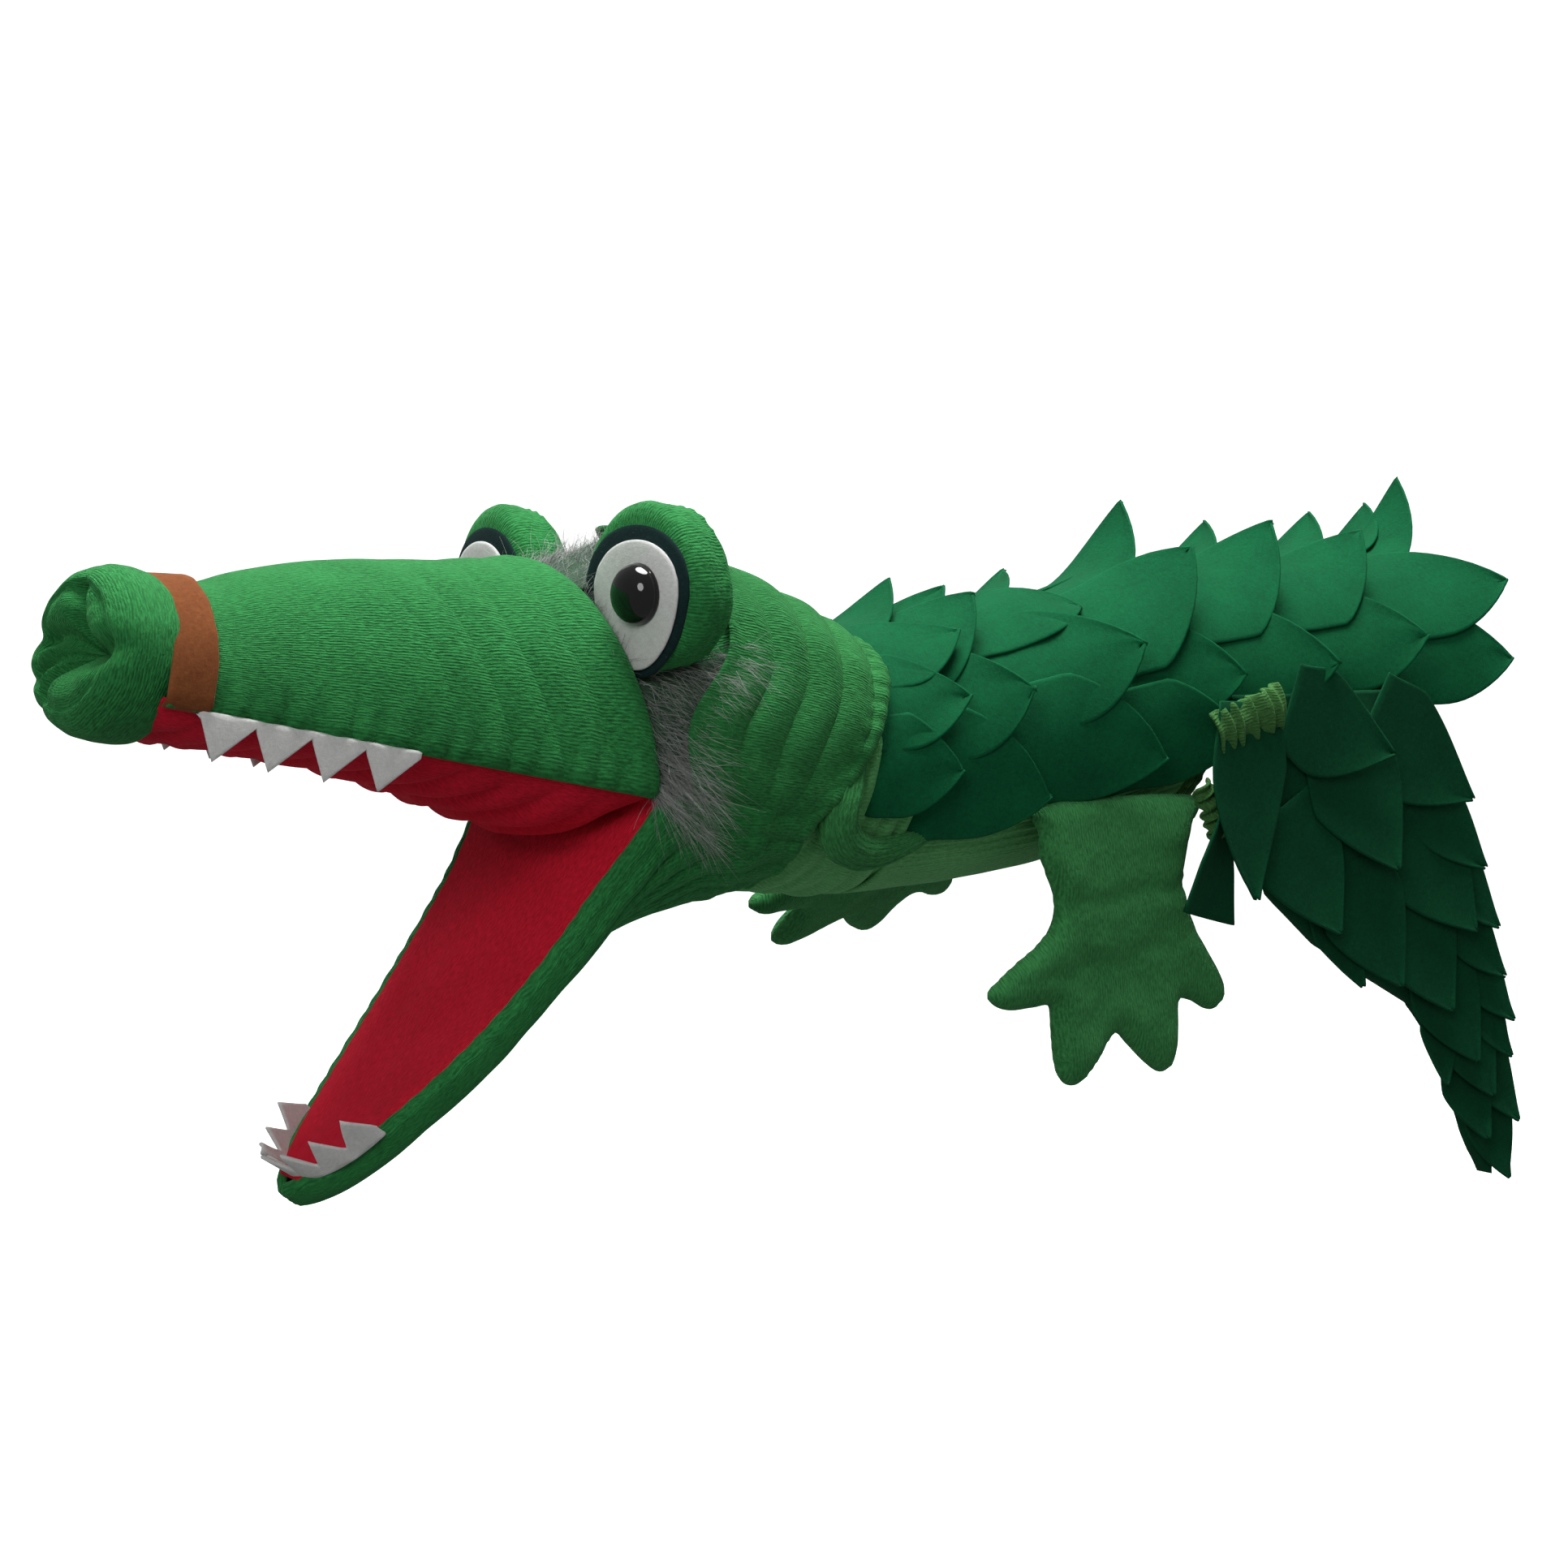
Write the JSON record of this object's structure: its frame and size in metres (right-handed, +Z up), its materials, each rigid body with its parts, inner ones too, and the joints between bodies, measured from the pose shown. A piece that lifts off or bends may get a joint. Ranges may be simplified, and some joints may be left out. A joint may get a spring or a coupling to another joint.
{
  "type": "moving mouth hand puppet",
  "caption": "Crocodile hand puppet worn on the forearm: hinged stuffed snout and jaw, turning head, felt-scaled back, hanging feet and tail.",
  "frame": {"origin": "centre of the arm opening at the back of the closed sleeve", "axes": "+X back along the wearer's arm, -X the way the nose points, +Z up, -Y the puppet's left side"},
  "size_m": [0.5693, 0.1846, 0.2586],
  "materials": {
    "green_velour": "short pile knitted velour",
    "belly_velour": "short pile knitted velour, lighter",
    "lining_velour": "light green velour, gathered",
    "scale_felt": "cut craft felt",
    "red_velour": "short pile velour",
    "white_felt": "cut craft felt",
    "dark_felt": "cut craft felt",
    "brown_felt": "cut craft felt",
    "grey_fur": "long pile faux fur",
    "eye_plastic": "polished",
    "washer_plastic": "moulded",
    "mouth_board": "stiff sheet",
    "pocket_cloth": "plain woven cotton",
    "wadding": "polyester wadding"
  },
  "bodies": {
    "sleeve": {"belly_panel": "belly_velour", "back_panel": "green_velour", "saddle_panel": "scale_felt", "saddle_lining": "lining_velour", "opening_hem": "lining_velour", "scale_row_1": "scale_felt", "scale_row_2": "scale_felt", "scale_row_3": "scale_felt", "scale_row_4": "scale_felt", "scale_row_5": "scale_felt", "scale_row_6": "scale_felt"},
    "neck": {"neck_cloth": "green_velour"},
    "head": {"head_hood": "green_velour", "fur_trim": "grey_fur", "mouth_fold": "red_velour", "eyelid_left": "green_velour", "eyelid_right": "green_velour", "eye_outline_left": "dark_felt", "eye_outline_right": "dark_felt", "eye_white_left": "white_felt", "eye_white_right": "white_felt", "eye_bead_left": "eye_plastic", "eye_bead_right": "eye_plastic", "eye_washer_left": "washer_plastic", "eye_washer_right": "washer_plastic"},
    "upper_jaw": {"snout_shell": "green_velour", "snout_filling": "wadding", "finger_pocket": "pocket_cloth", "upper_mouth_board": "mouth_board", "palate_lining": "red_velour", "snout_strap": "brown_felt", "nose_bulb": "green_velour", "upper_teeth_left": "white_felt", "upper_teeth_right": "white_felt"},
    "lower_jaw": {"chin_shell": "green_velour", "chin_filling": "wadding", "thumb_pocket": "pocket_cloth", "lower_mouth_board": "mouth_board", "mouth_lining_lower": "red_velour", "lower_teeth": "white_felt"},
    "left_foot": {"foot_left": "green_velour"},
    "right_foot": {"foot_right": "green_velour"},
    "tail_root": {"tail_base": "green_velour", "tail_scales_base": "scale_felt"},
    "tail_mid": {"tail_middle": "green_velour", "tail_scales_middle": "scale_felt"},
    "tail_end": {"tail_tip": "green_velour", "tail_scales_tip": "scale_felt"}
  },
  "joints": [
    {"name": "neck_turn", "type": "hinge", "parent": "sleeve", "child": "neck", "pos_m": [-0.13, 0, -0.015], "axis": [0, 0, 1], "range_deg": [-12, 12]},
    {"name": "neck_nod", "type": "hinge", "parent": "neck", "child": "head", "pos_m": [-0.16, 0, -0.016], "axis": [0, 1, 0], "range_deg": [-12, 12]},
    {"name": "upper_jaw_hinge", "type": "hinge", "parent": "head", "child": "upper_jaw", "pos_m": [-0.232, 0, -0.019], "axis": [0, 1, 0], "range_deg": [-8, 4]},
    {"name": "lower_jaw_hinge", "type": "hinge", "parent": "head", "child": "lower_jaw", "pos_m": [-0.232, 0, -0.019], "axis": [0, 1, 0], "range_deg": [-6, 41]},
    {"name": "left_foot_swing", "type": "hinge", "parent": "sleeve", "child": "left_foot", "pos_m": [-0.041, -0.043, -0.031], "axis": [-0.9925, 0, -0.1219], "range_deg": [-4, 80]},
    {"name": "right_foot_swing", "type": "hinge", "parent": "sleeve", "child": "right_foot", "pos_m": [-0.041, 0.043, -0.031], "axis": [0.9925, 0, 0.1219], "range_deg": [-53, 30], "stiffness_Nm_per_rad": 0.1},
    {"name": "tail_lift", "type": "hinge", "parent": "sleeve", "child": "tail_root", "pos_m": [0.066, -0.048, -0.004], "axis": [-1, 0, 0], "range_deg": [-3, 62]},
    {"name": "tail_bend", "type": "hinge", "parent": "tail_root", "child": "tail_mid", "pos_m": [0.098, -0.048, -0.067], "axis": [-1, 0, 0], "range_deg": [-20, 30]},
    {"name": "tail_curl", "type": "hinge", "parent": "tail_mid", "child": "tail_end", "pos_m": [0.133, -0.048, -0.119], "axis": [-1, 0, 0], "range_deg": [-25, 35]}
  ]
}
